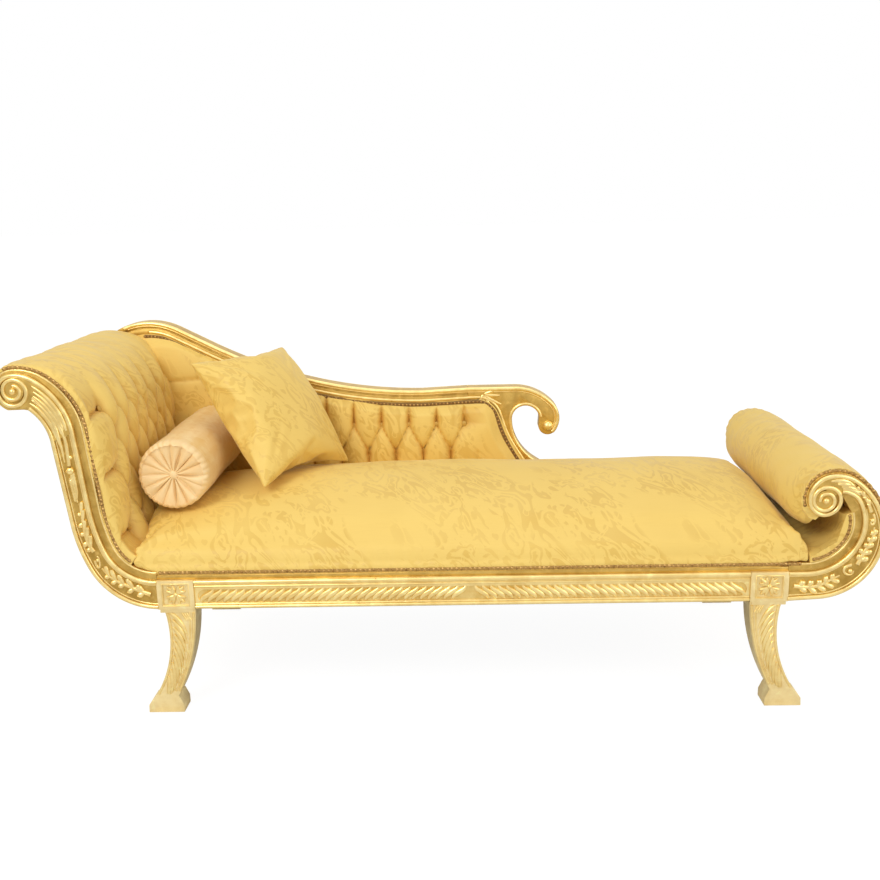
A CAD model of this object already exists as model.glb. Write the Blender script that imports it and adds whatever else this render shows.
import math
import random

import bpy
import numpy as np
from mathutils import Matrix, Vector


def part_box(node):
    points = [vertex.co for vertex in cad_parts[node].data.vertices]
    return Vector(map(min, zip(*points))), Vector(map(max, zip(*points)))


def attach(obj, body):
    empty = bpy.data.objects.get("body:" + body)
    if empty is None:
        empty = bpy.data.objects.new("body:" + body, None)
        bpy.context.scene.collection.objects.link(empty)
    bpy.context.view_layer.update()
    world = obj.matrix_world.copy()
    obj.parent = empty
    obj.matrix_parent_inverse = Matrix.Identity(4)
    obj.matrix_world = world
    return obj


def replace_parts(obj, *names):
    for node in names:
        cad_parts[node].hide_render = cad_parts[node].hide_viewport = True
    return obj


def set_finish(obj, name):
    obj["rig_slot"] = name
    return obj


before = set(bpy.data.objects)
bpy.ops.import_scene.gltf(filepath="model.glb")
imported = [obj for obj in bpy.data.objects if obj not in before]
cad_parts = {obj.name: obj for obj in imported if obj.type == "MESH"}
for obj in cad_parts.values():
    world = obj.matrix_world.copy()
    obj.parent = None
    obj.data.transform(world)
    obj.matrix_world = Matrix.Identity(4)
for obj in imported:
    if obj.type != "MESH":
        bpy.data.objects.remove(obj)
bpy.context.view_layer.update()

# Scroll-end chaise longue. Metres. Head end at -X, front at -Y, floor at z = 0.

HALF = 0.340            # half the depth, and the front plane of the scrolls
BAND_FACE = 0.331       # the nail band's plane on the scrolls
RAIL_FACE = 0.336
SCROLL_BACK = 0.292     # inner planes of the scrolls, front plane of the back frame
RAIL_LOW, RAIL_TOP = 0.266, 0.337
HEAD_X, FOOT_X = -0.670, 0.783      # outer sides of the corner blocks
BLOCK = 0.086
SEAT_END = 0.828
HEAD_EYE = (-0.9488, 0.7878)
HEAD_RING, HEAD_BAND_RING, FOOT_RING = 0.039, 0.0485, 0.0382
BAND = 0.019
BACK_FLOOR = 0.3505
BACK_PAD_FACE, BACK_PAD_REAR = 0.288, 0.297
PAD_END = 0.2917        # rear end of the head pad
TUFT_ACROSS, TUFT_UP = 0.078, 0.073
HEAD_TUFTS_FROM = (0.014, -0.010)           # first row along the pad, middle column's y
HEAD_TUFT_LINE = (0.058, 0.059)             # stand-off of the line that tufts are measured on
BACK_TUFTS_FROM = (0.048, 0.561)            # x and z of the first tuft
HEAD_TUFT_DEPTH, BACK_TUFT_DEPTH = 0.027, 0.026
ROLL_FULLNESS = 0.016
CUSHION_HALF = 0.195
BEAD_IN = 0.0046        # a scroll's edge bead, from its edge
REED_PITCH = 0.0183
NAIL_PITCH = 0.0097
NAIL_REACH = 0.016      # nails further apart belong to different rows
REPEAT_ACROSS, REPEAT_UP = 0.34, 0.52       # of the damask
CAMERA_PLACE = (0.0506, -2.4986, 1.1731)
CAMERA_TILT, CAMERA_YAW, CAMERA_ROLL = 13.357, -1.4826, 1.35
TURN = 2 * math.pi


# Side-view lines

def walk(start, heading, steps, side=0.0, grain=0.004):
    """Runs of points along (radius, turn) arcs and (length, 0) lines, moved right of travel."""
    angle = math.radians(heading)
    x = start[0] + side * math.sin(angle)
    z = start[1] - side * math.cos(angle)
    runs = []
    for reach, turn in steps:
        run = [(x, z)]
        if turn == 0:
            count = max(1, round(reach / grain))
            for step in range(1, count + 1):
                far = reach * step / count
                run.append((x + far * math.cos(angle), z + far * math.sin(angle)))
        else:
            bend = 1 if turn > 0 else -1
            radius = reach + bend * side
            centre = (x - bend * radius * math.sin(angle), z + bend * radius * math.cos(angle))
            sweep = math.radians(turn)
            count = max(3, round(abs(radius * sweep) / grain))
            for step in range(1, count + 1):
                there = angle + sweep * step / count
                run.append((centre[0] + bend * radius * math.sin(there),
                            centre[1] - bend * radius * math.cos(there)))
            angle += sweep
        x, z = run[-1]
        runs.append(run)
    return runs


def flat(runs):
    return [point for run in runs for point in run]


def head_inner(side=0.0, ring=HEAD_RING, wrap=0.0):
    """Inner edge of the head scroll from the corner block up to its ring round the eye."""
    start, heading = (HEAD_X, RAIL_TOP), 180.0
    first = [(0.1183, -35.0), (0.1183, -34.3), (0.406, -14.8), (0.1756, 0)]
    reached = walk(start, heading, first, side)[-1][-1]
    before = math.radians(heading - 69.3 - 14.8)
    between = before + math.radians(52.4)
    after = between + math.radians(37.3)
    far_x = HEAD_EYE[0] + ring * math.sin(after) - reached[0]
    far_z = HEAD_EYE[1] - ring * math.cos(after) - reached[1]
    neck = (math.sin(between) - math.sin(before), math.cos(before) - math.cos(between))
    crest = (math.sin(after) - math.sin(between), math.cos(between) - math.cos(after))
    scale = neck[0] * crest[1] - crest[0] * neck[1]
    neck_radius = (far_x * crest[1] - crest[0] * far_z) / scale
    crest_radius = (neck[0] * far_z - neck[1] * far_x) / scale
    steps = first + [(neck_radius - side, 52.4), (crest_radius - side, 37.3)]
    if wrap:
        steps += [(ring - side, wrap / 2), (ring - side, wrap / 2)]
    return walk(start, heading, steps, side)


def head_outer(side=0.0):
    steps = [(0.173, -62.8), (0.358, -18.5), (0.197, 0), (0.109, 45.5)]
    return walk((HEAD_X, RAIL_LOW + 0.0015), 178.4, steps, side)


def foot_outer(side=0.0, last=95.0, fuller=0.0):
    steps = [(0.0685, 0), (0.1482, 87.7), (0.1607, 56.0), (0.0767, 51.6), (0.0556 + fuller, 84.4)]
    if last:
        steps += [(FOOT_RING + fuller, last / 2), (FOOT_RING + fuller, last / 2)]
    return walk((FOOT_X, RAIL_LOW + 0.0015), 3.0, steps, side)


def foot_inner(side=0.0, kept=4):
    steps = [(0.0398, 0), (0.120, 56.8), (0.1046, 50.0 if kept < 4 else 60.3), (0.0458, 61.1)]
    return walk((FOOT_X, RAIL_TOP), 0.0, steps[:kept], side)


def foot_eye():
    """Middle of the ring that the foot scroll's outer edge ends on."""
    x, z = foot_outer(0.0, 90.0)[-1][0]
    heading = math.radians(3.0 + 87.7 + 56.0 + 51.6 + 84.4 + 45.0)
    return (x - FOOT_RING * math.sin(heading), z + FOOT_RING * math.cos(heading))


FOOT_EYE = foot_eye()


def rail_top(side=0.0):
    """Top edge of the back rail, from the head end over its crest and down to the end scroll."""
    line = walk((-0.923, 0.844), 28.2, [(0.184, -55.3), (0.106, 0), (1.294, 27.1)], side)
    return line + [[line[-1][-1], (0.060, 0.661 - side)]]


def post_left(side=0.0, floor=BACK_FLOOR):
    line = walk((0.060, 0.627), 0.0, [(0.027, 0), (0.062, -72.0), (0.035, 0), (0.300, 14.0)], side)
    x, z = line[-1][-1]
    lean = math.radians(58.0)
    fall = (z - floor) / math.sin(lean)
    return line + [[(x, z), (x + fall * math.cos(lean), floor)]]


def hook_over(side=0.0):
    return walk((0.060, 0.661), 0.0, [(0.133, 0), (0.149, -47.3), (0.065, -77.2), (0.0264, -149.9)], side)


def hook_inside(side=0.0):
    tip = hook_over()[-1][-1]
    return walk((tip[0] + 0.002, tip[1] + 0.024), 100.0,
                [(0.0397, 86.2), (0.0378, 84.8), (0.1453, 55.8), (0.075, 0), (0.030, -56.8)], side)


def even(points, count):
    """The same line as count evenly spaced points."""
    line = np.array(points, float)
    keep = np.concatenate([[True], np.linalg.norm(np.diff(line, axis=0), axis=1) > 1e-7])
    line = line[keep]
    along = np.concatenate([[0.0], np.cumsum(np.linalg.norm(np.diff(line, axis=0), axis=1))])
    at = np.linspace(0, along[-1], count)
    return np.stack([np.interp(at, along, line[:, axis]) for axis in range(line.shape[1])], 1)


def length_of(points):
    return float(np.linalg.norm(np.diff(np.array(points, float), axis=0), axis=1).sum())


def smooth_step(low, high, value):
    share = np.clip((np.asarray(value, float) - low) / (high - low), 0, 1)
    return share * share * (3 - 2 * share)


# Shader board

class Term:
    """A number in a material that takes plain arithmetic."""

    def __init__(self, board, socket):
        self.board, self.socket = board, socket

    def math(self, operation, *others):
        return self.board.node("Math", {"operation": operation}, **{
            "in%d" % place: value for place, value in enumerate((self,) + others)})

    def __add__(self, other):
        return self.math("ADD", other)

    def __mul__(self, other):
        return self.math("MULTIPLY", other)

    def __truediv__(self, other):
        return self.math("DIVIDE", other)

    def __sub__(self, other):
        return self.math("SUBTRACT", other)

    def __rsub__(self, other):
        return self * -1.0 + other

    def step(self, low, high):
        """Smooth rise from 0 at low to 1 at high."""
        return self.board.node("MapRange", {"interpolation_type": "SMOOTHSTEP"}, Value=self,
                               **{"From Min": low, "From Max": high})

    def wave(self, pitch):
        return (self * (TURN / pitch)).math("SINE")


class Board:
    """The nodes of a material or world and the few calls that add to them."""

    def __init__(self, owner):
        self.owner = owner
        owner.use_nodes = True
        self.tree = owner.node_tree

    def node(self, kind, settings=None, output=0, **inputs):
        """Add a node; inN is socket N and any other input is a socket's name."""
        made = self.tree.nodes.new("ShaderNode" + kind)
        for key, value in (settings or {}).items():
            setattr(made, key, value)
        for key, value in inputs.items():
            self.feed(made.inputs[int(key[2:]) if key[2:].isdigit() else key], value)
        return Term(self, made.outputs[output])

    def feed(self, socket, value):
        if isinstance(value, Term):
            self.tree.links.new(value.socket, socket)
        elif isinstance(value, tuple) and socket.type == "RGBA":
            socket.default_value = value + (1.0,)
        else:
            socket.default_value = value

    def noise(self, where, scale, detail=2.0, rough=0.5, warp=0.0):
        return self.node("TexNoise", {"noise_dimensions": "3D"}, Vector=where, Scale=scale,
                         Detail=detail, Roughness=rough, Distortion=warp)

    def blend(self, share, first, second):
        return self.node("Mix", {"data_type": "RGBA"}, output=2, in0=share, in6=first, in7=second)

    def parts(self, vector):
        made = self.tree.nodes.new("ShaderNodeSeparateXYZ")
        self.feed(made.inputs[0], vector)
        return [Term(self, output) for output in made.outputs]

    def stretch(self, vector, scale):
        return self.node("Mapping", Vector=vector, Scale=scale)

    def bump(self, height, strength, distance):
        return self.node("Bump", Height=height, Strength=strength, Distance=distance)

    def ray(self, kind):
        return self.node("LightPath", output="Is %s Ray" % kind)

    def finish(self, **sockets):
        for key, value in sockets.items():
            self.feed(self.shader.inputs[key.replace("_", " ")], value)
        return self.owner


def new_material(name):
    """A new material's board, with its shader."""
    board = Board(bpy.data.materials.new(name))
    board.shader = board.tree.nodes["Principled BSDF"]
    return board


def place_of(board):
    """Place on the piece."""
    return board.node("TexCoord", output="Object")


def cloth_of(board):
    """Place on the cloth: across, along and depth of fold."""
    return board.node("Attribute", {"attribute_name": "cloth"}, output="Vector")


def gilding(name, bright, deep, rough, metal=0.86, wear=0.5):
    """Gold leaf over carved wood: mottled leaf, warmer bole in the hollows, soft scuffs."""
    board = new_material(name)
    place = place_of(board)
    broad = board.noise(place, 9.0, 3.0, 0.6, 0.6)
    leaf = board.noise(place, 55.0, 3.0, 0.6)
    grain = board.noise(place, 420.0, 2.0, 0.6)
    edge = board.node("NewGeometry", output="Pointiness").step(0.46, 0.53)
    tone = (broad * 0.55 + leaf * 0.45).step(0.36, 0.62) * (1.0 - wear) + edge * wear
    colour = board.blend(tone, deep, bright)
    pale = tuple(min(1.0, value * 1.12 + 0.02) for value in bright)
    colour = board.blend(leaf.step(0.58, 0.72) * 0.55, colour, pale)
    normal = board.bump(leaf * 0.7 + grain * 0.3, 0.22, 0.0012)
    return board.finish(Base_Color=colour, Metallic=metal, Roughness=leaf * 0.16 + rough - 0.08,
                        Normal=normal, Coat_Weight=0.12, Coat_Roughness=0.25, Specular_IOR_Level=0.6)


def damask(name, ground, motif, creased):
    """Silk damask: leafy shapes, tone on tone, on a half-drop repeat that closes on itself."""
    board = new_material(name)
    cloth = cloth_of(board)
    u, v, fold = board.parts(cloth)
    turn = u * (TURN / REPEAT_ACROSS)
    rise = (v / REPEAT_UP + u * (0.5 / REPEAT_ACROSS)) * TURN
    wide, tall = REPEAT_ACROSS / 6.28, REPEAT_UP / 6.28
    tile = board.node("CombineXYZ", in0=turn.math("COSINE") * wide, in1=turn.math("SINE") * wide,
                      in2=rise.math("COSINE") * tall)
    fourth = rise.math("SINE") * tall

    def repeat(scale, detail, warp):
        return board.node("TexNoise", {"noise_dimensions": "4D"}, Vector=tile, W=fourth, Scale=scale,
                          Detail=detail, Roughness=0.45, Distortion=warp)

    form, fine = repeat(9.0, 0.8, 2.5), repeat(23.0, 0.8, 1.8)
    leaves = form.step(0.475, 0.490) * (1.0 - form.step(0.575, 0.590))
    leaves = leaves.math("MAXIMUM", form.step(0.655, 0.670))
    sprigs = fine.step(0.585, 0.600) * (1.0 - form.step(0.40, 0.47))
    bunch = repeat(5.2, 1.0, 0.8).step(0.36, 0.50)
    notch = 1.0 - fine.step(0.33, 0.36) * (1.0 - fine.step(0.40, 0.43))
    pattern = leaves.math("MAXIMUM", sprigs) * bunch * notch
    broad = board.noise(cloth, 5.0, 2.0, 0.5)
    thread = (u.wave(0.0011) + v.wave(0.0016)) * 0.25 + 0.5
    slub = board.noise(board.stretch(cloth, (18.0, 420.0, 18.0)), 1.0, 2.0, 0.6)
    colour = board.blend(pattern * (broad.step(0.30, 0.66) * 0.65 + 0.35), ground, motif)
    colour = board.blend(slub.step(0.45, 0.75) * 0.12 + broad.step(0.35, 0.7) * 0.15, colour, motif)
    colour = board.blend(fold.step(0.15, 1.0) * 0.8, colour, creased)
    normal = board.bump(pattern * 0.55 + slub * 0.30 + thread * 0.15, 0.35, 0.0006)
    return board.finish(Base_Color=colour, Roughness=0.60 - pattern * 0.17, Normal=normal,
                        Sheen_Weight=0.30, Sheen_Roughness=0.35, Sheen_Tint=(1.0, 0.90, 0.62),
                        Specular_IOR_Level=0.42)


def satin(name, ground, pale, stripe=0.0):
    """Plain satin with fine ribs along the cloth, in soft stripes where a stripe width is given."""
    board = new_material(name)
    cloth = cloth_of(board)
    slub = board.noise(board.stretch(cloth, (420.0, 24.0, 24.0)), 1.0, 2.0, 0.6)
    broad = board.noise(place_of(board), 16.0, 2.0, 0.5)
    tone = slub * 0.5 + broad.step(0.35, 0.7) * 0.5
    if stripe:
        leafy = board.noise(cloth, 19.0, 1.5, 0.5, 2.2).step(0.50, 0.56)
        band = board.parts(cloth)[0].wave(stripe).step(-0.8, 0.8)
        tone = tone * 0.45 + band * 0.25 + leafy * 0.30
    return board.finish(Base_Color=board.blend(tone, ground, pale), Roughness=0.50 - slub * 0.12,
                        Normal=board.bump(slub, 0.25, 0.0005), Sheen_Weight=0.4, Sheen_Roughness=0.3,
                        Sheen_Tint=(1.0, 0.88, 0.70), Specular_IOR_Level=0.45)


def plain_metal(name, colour, dark, rough):
    board = new_material(name)
    place = place_of(board)
    spots = board.noise(place, 130.0, 3.0, 0.6)
    fine = board.noise(place, 900.0, 2.0, 0.5)
    return board.finish(Base_Color=board.blend(spots.step(0.35, 0.65), dark, colour), Metallic=1.0,
                        Roughness=spots * 0.2 + rough - 0.1,
                        Normal=board.bump(spots * 0.6 + fine * 0.4, 0.2, 0.0006))


def timber(name, light, dark, along):
    """Unfinished beech: long grain along one axis, with small flecks."""
    board = new_material(name)
    place = place_of(board)
    run = [9.0, 9.0, 9.0]
    run[along] = 0.7
    grain = board.noise(board.stretch(place, tuple(run)), 9.0, 4.0, 0.6, 0.8)
    lines = (grain * 46.0).math("SINE") * 0.5 + 0.5
    fleck = board.noise(board.stretch(place, tuple(value * 4 for value in run)), 20.0, 2.0, 0.6)
    colour = board.blend(lines * 0.6 + fleck.step(0.45, 0.7) * 0.4, light, dark)
    normal = board.bump(lines * 0.4 + fleck * 0.6, 0.2, 0.0006)
    return board.finish(Base_Color=colour, Roughness=fleck * 0.2 + 0.55, Normal=normal)


def coarse_weave(name, light, dark, pitch):
    """Open plain weave, threads at one pitch both ways."""
    board = new_material(name)
    place = place_of(board)
    x, y, z = board.parts(place)
    warp = (x + z).wave(pitch) * 0.5 + 0.5
    weft = y.wave(pitch) * 0.5 + 0.5
    fuzz = board.noise(place, 240.0, 3.0, 0.7)
    height = warp.math("MAXIMUM", weft) * 0.8 + fuzz * 0.2
    colour = board.blend(height.step(0.25, 0.9) * 0.7 + fuzz * 0.3, dark, light)
    return board.finish(Base_Color=colour, Roughness=fuzz * 0.15 + 0.78,
                        Normal=board.bump(height, 0.5, 0.0008), Sheen_Weight=0.2, Sheen_Roughness=0.5)


BEECH = ((0.72, 0.53, 0.34), (0.58, 0.39, 0.22))
FINISHES = {
    "gilt_wood": gilding("gilt_carving", (0.97, 0.77, 0.34), (0.74, 0.49, 0.13), 0.31),
    "gilt_ground": gilding("gilt_ground", (0.72, 0.48, 0.125), (0.43, 0.25, 0.042), 0.38, 0.84, 0.45),
    "gilt_pale": gilding("gilt_plain", (0.97, 0.80, 0.42), (0.83, 0.62, 0.25), 0.42, 0.72, 0.35),
    "damask": damask("gold_damask", (0.855, 0.61, 0.165), (0.735, 0.485, 0.105), (0.62, 0.32, 0.045)),
    "satin": satin("peach_satin", (0.87, 0.60, 0.28), (0.94, 0.73, 0.41)),
    "satin_side": satin("striped_satin", (0.80, 0.51, 0.175), (0.91, 0.69, 0.36), 0.046),
    "nail_bronze": plain_metal("aged_bronze", (0.60, 0.38, 0.14), (0.28, 0.155, 0.05), 0.40),
    "raw_beech": timber("planed_beech", *BEECH, 0),
    "cross_beech": timber("cross_beech", *BEECH, 1),
    "board": timber("bent_plywood", (0.70, 0.54, 0.36), (0.58, 0.42, 0.26), 1),
    "jute": coarse_weave("jute_webbing", (0.58, 0.42, 0.24), (0.34, 0.22, 0.11), 0.003),
    "hessian": coarse_weave("hessian_cloth", (0.62, 0.48, 0.30), (0.36, 0.26, 0.14), 0.002),
    "black_lining": coarse_weave("black_lining", (0.045, 0.045, 0.05), (0.015, 0.015, 0.018), 0.0012),
    "felt": coarse_weave("pressed_felt", (0.22, 0.18, 0.14), (0.12, 0.10, 0.08), 0.0009),
    "gimp": coarse_weave("gimp_braid", (0.46, 0.26, 0.06), (0.24, 0.12, 0.024), 0.0018),
    "gimp_deep": coarse_weave("back_gimp_braid", (0.25, 0.13, 0.030), (0.12, 0.058, 0.013), 0.0018),
    "damask_deep": damask("button_damask", (0.60, 0.37, 0.075), (0.50, 0.29, 0.05), (0.36, 0.17, 0.025)),
    "bolt_steel": plain_metal("zinc_plate", (0.62, 0.63, 0.65), (0.46, 0.47, 0.50), 0.34),
}
SLOT_OF_FINISH = {"gilt_ground": "gilt_wood", "gilt_pale": "gilt_wood", "gimp": "jute", "gimp_deep": "jute",
                  "damask_deep": "damask", "satin_side": "satin", "cross_beech": "raw_beech"}


# Making and finishing pieces

def clear_selection():
    if bpy.context.object and bpy.context.object.mode != "OBJECT":
        bpy.ops.object.mode_set(mode="OBJECT")
    bpy.ops.object.select_all(action="DESELECT")


def take(piece):
    clear_selection()
    piece.select_set(True)
    bpy.context.view_layer.objects.active = piece
    return piece


def linked(name, data):
    piece = bpy.data.objects.new(name, data)
    bpy.context.scene.collection.objects.link(piece)
    return take(piece)


def edit(*steps):
    """Take steps in edit mode, with everything selected before each."""
    bpy.ops.object.mode_set(mode="EDIT")
    for step in steps:
        bpy.ops.mesh.select_all(action="SELECT")
        step()
    bpy.ops.object.mode_set(mode="OBJECT")


def face_out():
    bpy.ops.mesh.normals_make_consistent(inside=False)


def modified(piece, kind, **settings):
    """Apply one modifier with these settings."""
    take(piece)
    modifier = piece.modifiers.new(kind.lower(), kind)
    for key, value in settings.items():
        setattr(modifier, key, value)
    bpy.ops.object.modifier_apply(modifier=modifier.name)


def ease(piece, angle):
    take(piece)
    bpy.ops.object.shade_smooth_by_angle(angle=math.radians(angle))
    return piece


def give(piece, finish, nodes=(), body="frame"):
    """Finish, body, slot and nodes; fill makes the piece a pad, cut (a flat size) a sheet."""
    piece.data.materials.clear()
    piece.data.materials.append(FINISHES[finish])
    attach(piece, body)
    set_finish(piece, SLOT_OF_FINISH.get(finish, finish))
    if nodes:
        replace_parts(piece, *nodes)
    return piece


def copy_of(name, node):
    """A merged copy of a node's solids, ready to be worked on."""
    piece = linked(name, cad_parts[node].data.copy())
    edit(lambda: bpy.ops.mesh.remove_doubles(threshold=0.00002))
    return piece


def dressed(node, name, finish, width, trimmed=None):
    """A timber with hand-eased edges and smooth faces; trimmed moves a few corners first."""
    piece = copy_of(name, node)
    if trimmed:
        set_points(piece, trimmed(points_of(piece)))
    edit(lambda: bpy.ops.mesh.dissolve_limited(angle_limit=math.radians(0.6)))
    modified(piece, "BEVEL", width=width, segments=2, limit_method="ANGLE",
             angle_limit=math.radians(28.0), harden_normals=False)
    give(ease(piece, 35.0), finish, [node])


def strokes(name, runs, sides=3, flatten=None, curved=False, finish="gilt_wood"):
    """Rounded mouldings and carved strokes: each run is a list of (x, y, z, radius)."""
    curve = bpy.data.curves.new(name, "CURVE")
    curve.dimensions = "3D"
    curve.bevel_depth = 1.0
    curve.bevel_resolution = sides
    curve.use_fill_caps = True
    curve.resolution_u = 4
    for run in runs:
        spline = curve.splines.new("NURBS" if curved else "POLY")
        spline.points.add(len(run) - 1)
        for point, (x, y, z, radius) in zip(spline.points, run):
            point.co = (x, y, z, 1.0)
            point.radius = radius
        if curved:
            spline.order_u = 3
            spline.use_endpoint_u = True
    linked(name, curve)
    bpy.ops.object.convert(target="MESH")
    piece = bpy.context.object
    if flatten:
        plane, share = flatten
        for vertex in piece.data.vertices:
            vertex.co.y = plane + (vertex.co.y - plane) * share
    take(piece)
    edit(lambda: bpy.ops.mesh.remove_doubles(threshold=0.00005), face_out)
    return give(ease(piece, 60.0), finish)


def both_sides(name, runs, sides=3, flatten=None, curved=False):
    """Front strokes, and the same for the rear side as their own mesh."""
    front = strokes(name + "_front", runs, sides, flatten, curved)
    twin = linked(name + "_rear", front.data.copy())
    twin.data.transform(Matrix.Diagonal((1, -1, 1, 1)))
    twin.data.flip_normals()
    ease(twin, 60.0)
    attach(twin, "frame")
    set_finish(twin, front["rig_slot"])
    return front


def built(name, points, faces, cloth):
    mesh = bpy.data.meshes.new(name)
    mesh.from_pydata(points, [], faces)
    piece = linked(name, mesh)
    lay_cloth(piece, cloth)
    return piece


def lofted(name, rings, cloth):
    """Closed skin over rings of the same number of points."""
    rings = np.asarray(rings, float)
    count, around, _ = rings.shape
    faces = []
    for row in range(count - 1):
        base, above = row * around, (row + 1) * around
        for place in range(around):
            beside = (place + 1) % around
            faces.append((base + place, base + beside, above + beside, above + place))
    points = rings.reshape(-1, 3).tolist()
    cloth = np.asarray(cloth, float).reshape(-1, 3).tolist()
    for row in (0, count - 1):
        base, middle = row * around, len(points)
        points.append(rings[row].mean(0).tolist())
        cloth.append(np.mean(cloth[base:base + around], 0).tolist())
        faces += [(base + place, base + (place + 1) % around, middle) for place in range(around)]
    piece = built(name, points, faces, cloth)
    edit(face_out)
    return piece


def lay_cloth(piece, places):
    """Where each point of the piece lies on its cloth, in metres."""
    held = piece.data.attributes
    kept = held.get("cloth") or held.new("cloth", "FLOAT_VECTOR", "POINT")
    kept.data.foreach_set("vector", np.asarray(places, np.float32).ravel())


def points_of(piece, what="co"):
    values = np.zeros(len(piece.data.vertices) * 3)
    piece.data.vertices.foreach_get(what, values)
    return values.reshape(-1, 3)


def set_points(piece, co):
    piece.data.vertices.foreach_set("co", np.asarray(co, float).ravel())
    piece.data.update()


def push_out(piece, lift, co=None):
    """Move each point along its normal by its lift."""
    co = points_of(piece) if co is None else co
    set_points(piece, co + points_of(piece, "normal") * lift[:, None])


def ripple(places, waves, seed):
    """Soft, repeatable unevenness from a few crossing waves."""
    chance = random.Random(seed)
    total = np.zeros(len(places))
    for length, height in waves:
        for _ in range(3):
            way = Vector([chance.uniform(-1, 1) for _ in range(3)]).normalized()
            phase = chance.uniform(0, 6.28)
            total += height / 1.7 * np.sin(places @ np.array(way) * (TURN / length) + phase)
    return total


def inflate(piece, pressure, cap, frames, stiff, pins=None):
    """Let the cloth swell under inner pressure and keep it, no point moved further than cap."""
    take(piece)
    before = points_of(piece)
    cloth = piece.modifiers.new("stuffing", "CLOTH")
    settings = cloth.settings
    settings.use_pressure = True
    settings.uniform_pressure_force = pressure
    settings.shrink_min = 0.0
    settings.tension_stiffness = settings.compression_stiffness = stiff
    settings.shear_stiffness = 5.0
    settings.bending_stiffness = 0.5
    settings.quality = 6
    settings.effector_weights.gravity = 0.0
    if pins is not None:
        group = piece.vertex_groups.new(name="held")
        for index, weight in enumerate(pins):
            if weight > 0:
                group.add([index], float(weight), "REPLACE")
        settings.vertex_group_mass = "held"
    cloth.point_cache.frame_start = 1
    cloth.point_cache.frame_end = frames
    for step in range(1, frames + 1):
        bpy.context.scene.frame_set(step)
    shown = piece.evaluated_get(bpy.context.evaluated_depsgraph_get())
    move = points_of(shown) - before
    piece.modifiers.remove(cloth)
    bpy.context.scene.frame_set(1)
    if cap is not None:
        far = np.linalg.norm(move, axis=1, keepdims=True)
        move *= np.minimum(1.0, cap / np.maximum(far, 1e-9))
    set_points(piece, before + move)
    piece.vertex_groups.clear()


# Camera, light and floor

def set_view():
    pitch, yaw, roll = (math.radians(value) for value in (CAMERA_TILT, CAMERA_YAW, CAMERA_ROLL))
    ahead = Vector((math.sin(yaw) * math.cos(pitch), math.cos(yaw) * math.cos(pitch), -math.sin(pitch)))
    right = Vector((math.cos(yaw), -math.sin(yaw), 0.0))
    up = right.cross(ahead)
    across = right * math.cos(roll) - up * math.sin(roll)
    over = right * math.sin(roll) + up * math.cos(roll)
    data = bpy.data.cameras.new("camera")
    data.sensor_width = 36.0
    data.lens = 1000.0 / 880.0 * 36.0
    data.clip_end = 60.0
    camera = linked("camera", data)
    turn = Matrix((across, over, -ahead)).transposed().to_4x4()
    camera.matrix_world = Matrix.Translation(CAMERA_PLACE) @ turn
    bpy.context.scene.camera = camera


def lamp(name, place, aim, size, power, tint=(1, 1, 1)):
    data = bpy.data.lights.new(name, "AREA")
    data.shape = "RECTANGLE"
    data.size, data.size_y = size
    data.energy = power
    data.color = tint
    light = linked(name, data)
    light.location = place
    light.rotation_euler = (Vector(aim) - Vector(place)).to_track_quat("-Z", "Y").to_euler()


def set_studio():
    world = bpy.data.worlds.new("studio")
    bpy.context.scene.world = world
    board = Board(world)
    board.tree.nodes.clear()
    shades = (((1.0, 0.985, 0.96), 0.53), ((1.0, 0.975, 0.92), 0.9), ((1.0, 1.0, 1.0), 1.0))
    lit, glossy, white = (board.node("Background", Color=colour, Strength=power) for colour, power in shades)
    near = board.node("MixShader", in0=board.ray("Glossy"), in1=lit, in2=glossy)
    seen = board.ray("Camera").math("MAXIMUM", board.ray("Transmission"))
    out = board.tree.nodes.new("ShaderNodeOutputWorld")
    board.feed(out.inputs[0], board.node("MixShader", in0=seen, in1=near, in2=white))
    lamp("key", (-1.6, -2.6, 2.9), (0.0, 0.0, 0.45), (1.7, 1.4), 60.0, (1.0, 0.97, 0.93))
    lamp("top", (0.5, 0.2, 3.2), (0.1, 0.0, 0.4), (3.0, 1.6), 16.0)
    lamp("fill", (2.8, -2.0, 1.6), (0.2, 0.0, 0.4), (1.8, 1.8), 24.0, (1.0, 0.96, 0.91))
    bpy.ops.mesh.primitive_grid_add(x_subdivisions=4, y_subdivisions=4, size=60.0, location=(0, 18.0, 0))
    floor = bpy.context.object
    floor.name = "floor"
    board = new_material("pale_floor")
    board.finish(Base_Color=(0.86, 0.86, 0.86), Roughness=0.9, Specular_IOR_Level=0.0)
    mixed = board.node("MixShader", in0=board.ray("Camera") * 0.80,
                       in1=Term(board, board.shader.outputs[0]), in2=board.node("Emission", Strength=1.16))
    board.feed(board.tree.nodes["Material Output"].inputs[0], mixed)
    floor.data.materials.append(board.owner)
    bpy.context.scene.view_settings.view_transform = "Standard"


# Upholstery

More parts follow.
